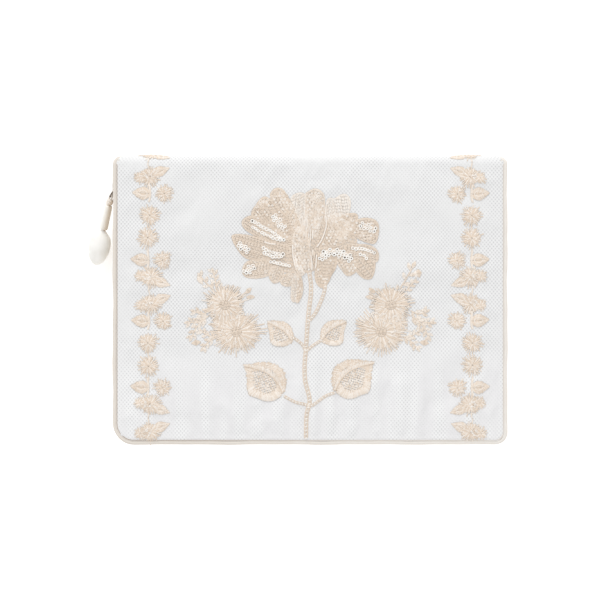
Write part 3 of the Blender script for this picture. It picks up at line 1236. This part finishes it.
def charm_point(along, side, lift):
    """A point from its place along the charm, measured from the tube's middle."""
    along, side, lift = (np.asarray(v, float)[..., None] for v in (along, side, lift))
    return TUBE_MIDDLE + along * CHARM_WAY + side * CHARM_SIDE + lift * CHARM_LIFT


def turned_piece(name, places, radii, flat, material, sides=48):
    """A piece turned about the charm's own line; flat squeezes it front to back."""
    turns = np.arange(sides) * 2 * math.pi / sides
    side = np.outer(radii, np.cos(turns)).ravel()
    lift = np.outer(radii, np.sin(turns)).ravel() * flat
    faces = [f[::-1] for f in grid_faces(len(places), sides, 0, True)]
    faces.append(tuple(range(sides)))
    faces.append(tuple((len(places) - 1) * sides + k for k in range(sides))[::-1])
    points = charm_point(np.repeat(places, sides), side, lift)
    return make_mesh(name, points, faces, material), turns


def make_tube():
    end = TUBE_LENGTH / 2
    t = np.concatenate([[0.0, 0.01, 0.03, 0.06], np.linspace(0.1, 0.9, 17), [0.94, 0.97, 0.99, 1.0]])
    round_off = np.sqrt(np.clip(1 - np.maximum(0, np.abs(2 * t - 1) - 0.84) ** 2 / 0.028, 0.2, 1))
    radii = TUBE_R * round_off * (0.9 + 0.16 * t) * (1 + 0.012 * np.sin(t * 40))
    obj, turns = turned_piece("tube_bead_glazed", -end + t * (TUBE_LENGTH + 0.6), radii, 1.0, TUBE)
    right = np.cos(turns) * np.sign(CHARM_SIDE[0])
    point_values(obj, "tone", np.tile(0.5 + 0.5 * right, len(t)))
    point_values(obj, "tip", np.repeat(t, len(turns)) * np.tile(0.94 + 0.06 * right, len(t)))
    return obj


def make_pearl():
    t = 0.5 - 0.5 * np.cos(np.linspace(0.05, math.pi - 0.05, 44))
    radii = PEARL_W / 2 * (4 * t * (1 - t)) ** 0.52 * (1.03 - 0.12 * (t - 0.4) ** 2 - 0.05 * t)
    radii *= 0.7 + 0.3 * smoothstep(t, 0.0, 0.25)
    places = TUBE_LENGTH / 2 + PEARL_GAP + t * PEARL_LENGTH
    return turned_piece("pearl_drop_glazed", places, radii, PEARL_T / PEARL_W, PEARL, 56)[0]


def make_knot():
    """Thread looped through the ring and wound round the charm's neck."""
    parts = []
    start = -TUBE_LENGTH / 2 - NECK_LENGTH
    loop = np.linspace(0, 2 * math.pi, 24)
    for lean, reach in ((0.45, 1.9), (-0.45, 1.7)):
        eye = charm_point(start + 0.4 + reach * np.cos(loop), 0.75 * np.sin(loop), lean * np.cos(loop))
        parts.append(tube_along(eye, 0.5, 8, CHARM_LIFT))
    turns = np.linspace(0, 4.3 * 2 * math.pi, 100)
    share = turns / turns[-1]
    radius = 1.15 + 0.6 * np.sin(math.pi * share) ** 0.6
    along = start + 1.3 + share * (NECK_LENGTH - 1.2)
    wound = charm_point(along, radius * np.cos(turns), radius * np.sin(turns))
    parts.append(tube_along(wound, 0.46, 8, CHARM_WAY))
    turn = np.linspace(0, 2 * math.pi, 26)
    for tilt in (1.0, -1.0):
        across = charm_point(start + 3.0 + tilt * np.sin(turn), 1.75 * np.cos(turn), 1.75 * np.sin(turn))
        parts.append(tube_along(across, 0.4, 8, CHARM_WAY))
    neck = charm_point(TUBE_LENGTH / 2 + np.array([0.2, 0.8, 1.4]), np.zeros(3), np.zeros(3))
    parts.append(tube_along(neck, 0.8, 10, CHARM_SIDE))
    obj = make_mesh("thread_knot_wound", *merge(parts), THREAD)
    spots = np.array([v.co for v in obj.data.vertices]) / MM - TUBE_MIDDLE
    along, side = (spots @ np.stack([CHARM_WAY, CHARM_SIDE], axis=1)).T
    lit = side * np.sign(CHARM_SIDE[0]) + 0.5 * (along - start - 2)
    point_values(obj, "tone", 0.75 - 0.75 * smoothstep(lit, 0.2, 2.2))
    return obj


for piece, slot, nodes in (
    (make_tube(), "tube_enamel", ("tube_bead",)), (make_pearl(), "pearl", ("pearl_drop",)),
    (make_knot(), "knot_thread", ("thread_knot", "charm_eye_pin")),
):
    settle(piece, "charm", nodes)


# ---- Linings and inner sleeves ----
def ripples(a, b, size=1.0):
    """Small soft unevenness for a lining or a tape."""
    return size * (np.sin(a / 9.3 + 1.2 * np.sin(b / 17)) * 0.5 + np.sin(b / 6.7 + a / 31) * 0.35)


def make_lining(name, back):
    """The lining under one cover, which curves on into its half of the spine."""
    s = spread(FORE_Y + LINING_IN, SPINE_MID, 2.6, ("low",))
    x, grid_s, cut, area = panel_grid(s, np.linspace(0, 1, 80), LINING_IN)
    depth = LINING_DEPTH - (LINING_DEPTH - 0.75) * smoothstep(grid_s, FOLD_Y, FOLD_Y + ARC)
    edge = smoothstep(seam_distance(x, grid_s), 2.0, 7.0)
    sag = (ripples(x, grid_s, 0.07) - 0.05) * edge * (1 - smoothstep(grid_s, FOLD_Y - 6, FOLD_Y))
    faces = (skin(x, grid_s, -depth + sag - rise, back, False) for rise in (0.0, LINING_T))
    return closed_sheet(name, *faces, LINING, np.stack([x, grid_s], axis=-1)), cut, area


def make_sleeve(name, back):
    """The pocket that holds one board of the book: sewn down on three sides, and hemmed on the fourth."""
    low, high = box_mm("front_inner_sleeve")
    end, inset = high[1], LINING_IN + 0.4
    s = spread(FORE_Y + inset, end, 2.0, ("low", "high"))
    across = spread(0, 2 * HALF_W, 2.4, ("low", "high")) / (2 * HALF_W)
    x, grid_s, cut, area = panel_grid(s, across, inset)
    d = seam_distance(x, grid_s) - (inset - SEAM_IN)
    top, bottom = high[2] - 0.1, low[2] + 0.28
    z = top + (bottom - top) * smoothstep(d, 0.2, 4.6) ** 0.8
    hem = 0.1 * smoothstep(grid_s, end - 7.5, end - 7.2) + 0.05 * np.exp(-((grid_s - end + 7.6) / 0.5) ** 2)
    z = z - hem - np.maximum(0, ripples(x, grid_s, 0.06)) * smoothstep(d, 3, 8)
    faces = (np.stack([x, grid_s, TOP_Z - h if back else h], axis=-1)
             for h in (z - LINING_T / 2, z + LINING_T / 2))
    return closed_sheet(name, *faces, LINING, np.stack([x, grid_s], axis=-1)), cut, area


LINING_IN = HALF_W - box_mm("front_cover_lining")[1][0]
LINING_DEPTH = TOP_Z - box_mm("front_cover_lining")[1][2]
for side, is_back in SIDES:
    cover = side + "_cover"
    lining, cut, cut_area = make_lining(side + "_lining_satin", is_back)
    settle(lining, cover, (cover + "_lining", "spine_lining"), True)
    stretched(lining, cut, cover + "_board", cut_area)
    sleeve, cut, cut_area = make_sleeve(side + "_sleeve_satin", is_back)
    settle(sleeve, cover, (side + "_inner_sleeve",))
    stretched(sleeve, cut, "book_" + side + "_board", cut_area)


# ---- Zip: woven tapes, their stitching, and coils that mesh in the middle ----
tape_low, tape_high = box_mm("front_zip_tape")
TAPE_LOW, TAPE_HIGH, TAPE_END = tape_low[2], tape_high[2], tape_high[1]
TAPE_INSET = HALF_W - tape_high[0] + 0.4
TAPE_HALF_T = 0.28
COIL_PITCH, COIL_STEPS = 1.3, 12
# The coil's wire reaches this far out and up from the middle of its own half, round a thicker core
COIL_OUT, COIL_UP, COIL_WIRE, COIL_CORE = 0.75, 1.3, 0.34, 0.65


def outward_way(path):
    """The way out of the cover at each point of an outline, and how far along it the point lies."""
    return directions(path)[1], lengths_along(path)


def tape_wave(along, height):
    hang = np.sin(math.pi * np.clip((height - TAPE_LOW) / (TAPE_HIGH - TAPE_LOW), 0, 1))
    return hang * (0.22 * np.sin(along / 7.3) + 0.12 * np.sin(along / 2.9 + 1)) - 0.25 * hang


def make_tape(name, back):
    path = outline_path(TAPE_INSET, TAPE_END, TAPE_END, 1.6)
    out, along = outward_way(path)
    flat = np.stack(np.meshgrid(along, np.linspace(TAPE_LOW, TAPE_HIGH, 12)), axis=-1)
    z = TOP_Z - flat[..., 1] if back else flat[..., 1]
    sheets = []
    for side in (TAPE_HALF_T, -TAPE_HALF_T):
        far = tape_wave(flat[..., 0], flat[..., 1]) + side
        sheets.append(np.concatenate([path[None] + out[None] * far[..., None], z[..., None]], axis=-1))
    return closed_sheet(name, *sheets, TAPE, flat), ((TAPE_HIGH - TAPE_LOW) * MM, along[-1] * MM)


def make_tape_stitches(name, back):
    """Two rows of sewing along the tape's outer face."""
    path = outline_path(TAPE_INSET, SPINE_Y - 4, SPINE_Y - 4, 0.8)
    out, along = outward_way(path)

    def on_tape(a, height, rise):
        x, y, way_x, way_y = (np.interp(a, along, v) for v in (*path.T, *out.T))
        far = tape_wave(a, height) + 0.3 + rise
        return np.stack([x + way_x * far, y + way_y * far, TOP_Z - height if back else height], axis=-1)

    t = Threads()
    for height in (TAPE_LOW + 1.0, TAPE_LOW + 1.9):
        for start in np.arange(2, along[-1] - 4, 2.1):
            t.stitch([(start, height), (start + 1.5, height)], 0.4, 0.6, 0.02)
    return t.build(name, on_tape)


def make_coil(name, back, left_y, right_y):
    """One half of the zip's coil: a helix whose loops reach past the middle, between the other half's."""
    path = outline_path(TAPE_INSET, left_y, right_y, 0.4)
    out, along = outward_way(path)
    steps = np.arange(1.5, along[-1] - 1.5, COIL_PITCH / COIL_STEPS)
    turn = 2 * math.pi * steps / COIL_PITCH + (math.pi if back else 0)
    base, normal = (np.stack([np.interp(steps, along, v[:, k]) for k in (0, 1)], axis=1) for v in (path, out))
    xy = base + normal * (COIL_OUT * np.cos(turn))[:, None]
    z = MID_Z + 1.15 + COIL_UP * np.sin(turn)
    loops = tube_along(np.column_stack([xy, TOP_Z - z if back else z]), COIL_WIRE, 6, COIL_AWAY)
    core = np.column_stack([path, np.full(len(path), TOP_Z - MID_Z - 1.3 if back else MID_Z + 1.3)])[::3]
    return make_mesh(name, *merge([loops, tube_along(core, COIL_CORE, 6, COIL_AWAY)]), NYLON)


for side, is_back in SIDES:
    tape, cut = make_tape(side + "_zip_tape_woven", is_back)
    stretched(tape, cut, side + "_piping_cord")
    sewing = make_tape_stitches(side + "_zip_stitches", is_back)
    coil = make_coil(side + "_zip_coil_loops", is_back, 74.0 if is_back else 61.5, 80.0)
    for piece, slot, node in (
        (tape, "zip_tape", "_zip_tape"), (sewing, "zip_tape", "_zip_tape"), (coil, "coil_nylon", "_zip_coil"),
    ):
        settle(piece, side + "_cover", (side + node,))


# ---- The book's leaves, headbands, gauze and ribbon ----
LEAVES = 8
# Points along each edge of a leaf, and over half a turn of a fold
LEAF_GRID, FOLD_STEPS = 7, 9
FOLD_DEPTH = 0.7


def make_gathering(name, node):
    """A folded gathering: separate leaves with slightly uneven edges, joined by a rounded fold."""
    low, high = box_mm(node)
    pitch = (high[2] - low[2]) / LEAVES
    parts = []
    y = np.linspace(low[1], high[1] - FOLD_DEPTH, LEAF_GRID)
    x = np.linspace(low[0], high[0], LEAF_GRID)
    for leaf in range(LEAVES):
        shy = [rng.uniform(0, 0.35) for _ in range(3)]
        grid_x, grid_y = np.meshgrid(np.clip(x, low[0] + shy[0], high[0] - shy[1]), [y[0] + shy[2], *y[1:]])
        middle = low[2] + pitch * (leaf + 0.5)
        bend = 0.012 * np.sin(grid_x / 23 + leaf) * np.cos(grid_y / 31)
        sides = [np.stack([grid_x, grid_y, middle + half * pitch + bend], axis=-1) for half in (0.4, -0.4)]
        parts.append((np.vstack([side.reshape(-1, 3) for side in sides]), slab_faces(LEAF_GRID, LEAF_GRID)))
    turn = np.linspace(-math.pi / 2, math.pi / 2, FOLD_STEPS)
    half = (high[2] - low[2]) / 2
    back_y = high[1] - FOLD_DEPTH + 0.68 * np.cos(turn)
    back_z = (low[2] + high[2]) / 2 + (half - 0.02) * np.sin(turn)
    fold = [(end, *spot) for spot in zip(back_y, back_z) for end in (low[0] + 0.2, high[0] - 0.2)]
    last = 2 * FOLD_STEPS - 1
    faces = [f[::-1] for f in grid_faces(FOLD_STEPS, 2)]
    faces += [tuple(range(0, last, 2)), tuple(range(last, 0, -2)), (0, 1, last, last - 1)]
    return make_mesh(name, *merge(parts + [(fold, faces)]), PAPER, False)


for number in range(1, 11):
    node = f"signature_{number:02d}"
    gathering = make_gathering(f"gathering_{number:02d}_leaves", node)
    settle(gathering, "front_pages" if number <= 5 else "back_pages", (node,))


def make_headbands(node, name):
    """Two short silk bands, wound in two colours, at the ends of the fold."""
    low, high = box_mm(node)
    parts, tones = [], []
    turn = np.linspace(0, 2 * math.pi, 14)
    for end in (low[0] + 0.45, high[0] - 0.45):
        for step, z in enumerate(np.arange(low[2] + 0.2, high[2] - 0.1, 0.42)):
            loop = (end + 0.24 * np.cos(turn), high[1] - 0.28 + 0.2 * np.sin(turn), z + 0.05 * np.sin(turn))
            parts.append(tube_along(np.stack(loop, axis=1), 0.2, 6, (0.1, 0.1, 1)))
            tones += [float(step % 4 < 2)] * len(parts[-1][0])
    obj = make_mesh(name, *merge(parts), SILK)
    point_values(obj, "tone", tones)
    return obj


def make_gauze(node, name):
    """Open-weave mull over the folds."""
    low, high = box_mm(node)
    x, z = np.meshgrid(np.linspace(low[0], high[0], 90), np.linspace(low[2], high[2], 12))
    y = high[1] - 0.12 + 0.05 * np.sin(x / 3.1) * np.cos(z * 1.4)
    faces = (np.stack([x, y + side, z], axis=-1) for side in (0.06, -0.06))
    return closed_sheet(name, *faces, GAUZE, np.stack([x, z], axis=-1))


for side, _ in SIDES:
    bands = make_headbands(side + "_headbands", side + "_headbands_wound")
    gauze = make_gauze(side + "_spine_gauze", side + "_gauze_mull")
    settle(bands, side + "_pages", (side + "_headbands",))
    settle(gauze, side + "_pages", (side + "_spine_gauze",))


def make_ribbon():
    """The marker between the pages: a satin ribbon whose notched tail sags beyond them."""
    low, high = box_mm("ribbon_marker")
    u, v = np.meshgrid(np.linspace(0, 1, 110), np.linspace(0, 1, 7))
    middle, half = (low[1] + high[1]) / 2, (high[1] - low[1]) / 2
    x = low[0] + u * (high[0] - low[0]) + (1 - u) ** 30 * 3.0 * (1 - np.abs(2 * v - 1))
    y = middle + (2 * v - 1) * (half - 0.2) + 0.2 * np.sin(x / 14)
    past = np.maximum(0, -105.0 - x)
    z = (low[2] + high[2]) / 2 + 0.015 * np.sin(x / 6) - 0.028 * past ** 2
    faces = (np.stack([x, y, z + side], axis=-1) for side in (0.05, -0.05))
    obj = closed_sheet("ribbon_satin_strip", *faces, RIBBON, np.stack([x, y], axis=-1))
    return obj, (round(2 * half * MM, 5), (high[0] - low[0]) * MM)


ribbon, cut = make_ribbon()
settle(ribbon, "back_pages", ("ribbon_marker",))


# ---- Finishes on the CAD nodes that stay ----
FINISHES = {
    WADDING: ("front_cover_wadding", "back_cover_wadding"),
    BOARD: ("front_cover_board", "back_cover_board"),
    METAL: ("front_zip_stop", "back_zip_stops", "slider_body", "slider_bridge", "pull_ring"),
    BOOK_CLOTH: ("book_front_board", "book_back_board", "book_spine_strip"),
    ENDPAPER: ("front_pastedown", "back_pastedown"),
}
for material, nodes in FINISHES.items():
    for node in nodes:
        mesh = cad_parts[node].data
        mesh.materials.clear()
        mesh.materials.append(material)


# ---- Camera, light and floor ----
CAMERA_X, CAMERA_Y, CAMERA_HIGH = -0.00605, -0.0001, 0.9962
LENS_MM, SENSOR_MM = 100, 36
FLOOR_SIZE, FLOOR_POINTS = 4.0, 9
WORLD_LIGHT = 0.795
camera = bpy.data.objects.new("camera", bpy.data.cameras.new("camera"))
bpy.context.collection.objects.link(camera)
camera.location = (CAMERA_X, CAMERA_Y, TOP_Z * MM + CAMERA_HIGH)
camera.data.lens = LENS_MM
camera.data.sensor_width = SENSOR_MM
bpy.context.scene.camera = camera

grid = np.linspace(-FLOOR_SIZE / 2, FLOOR_SIZE / 2, FLOOR_POINTS) / MM
floor_points = [(x, y, -0.1) for y in grid for x in grid]
floor = make_mesh("studio_floor", floor_points, grid_faces(FLOOR_POINTS, FLOOR_POINTS), FLOOR)


def soft_light(name, place, size, power, aim=(0, 0, 0.013)):
    lamp = bpy.data.lights.new(name, "AREA")
    lamp.shape = "DISK"
    lamp.size = size
    lamp.energy = power
    obj = bpy.data.objects.new(name, lamp)
    bpy.context.collection.objects.link(obj)
    obj.location = place
    obj.rotation_euler = (Vector(aim) - Vector(place)).to_track_quat("-Z", "Y").to_euler()


soft_light("key_light", (-0.9, 3.1, 1.5), 1.6, 46)
soft_light("fill_light", (0.8, -2.0, 2.6), 2.4, 15)
world = bpy.data.worlds.new("studio_air")
bpy.context.scene.world = world
world.use_nodes = True
world.node_tree.nodes["Background"].inputs["Color"].default_value = (1, 1, 1, 1)
world.node_tree.nodes["Background"].inputs["Strength"].default_value = WORLD_LIGHT
bpy.context.scene.view_settings.view_transform = "Standard"
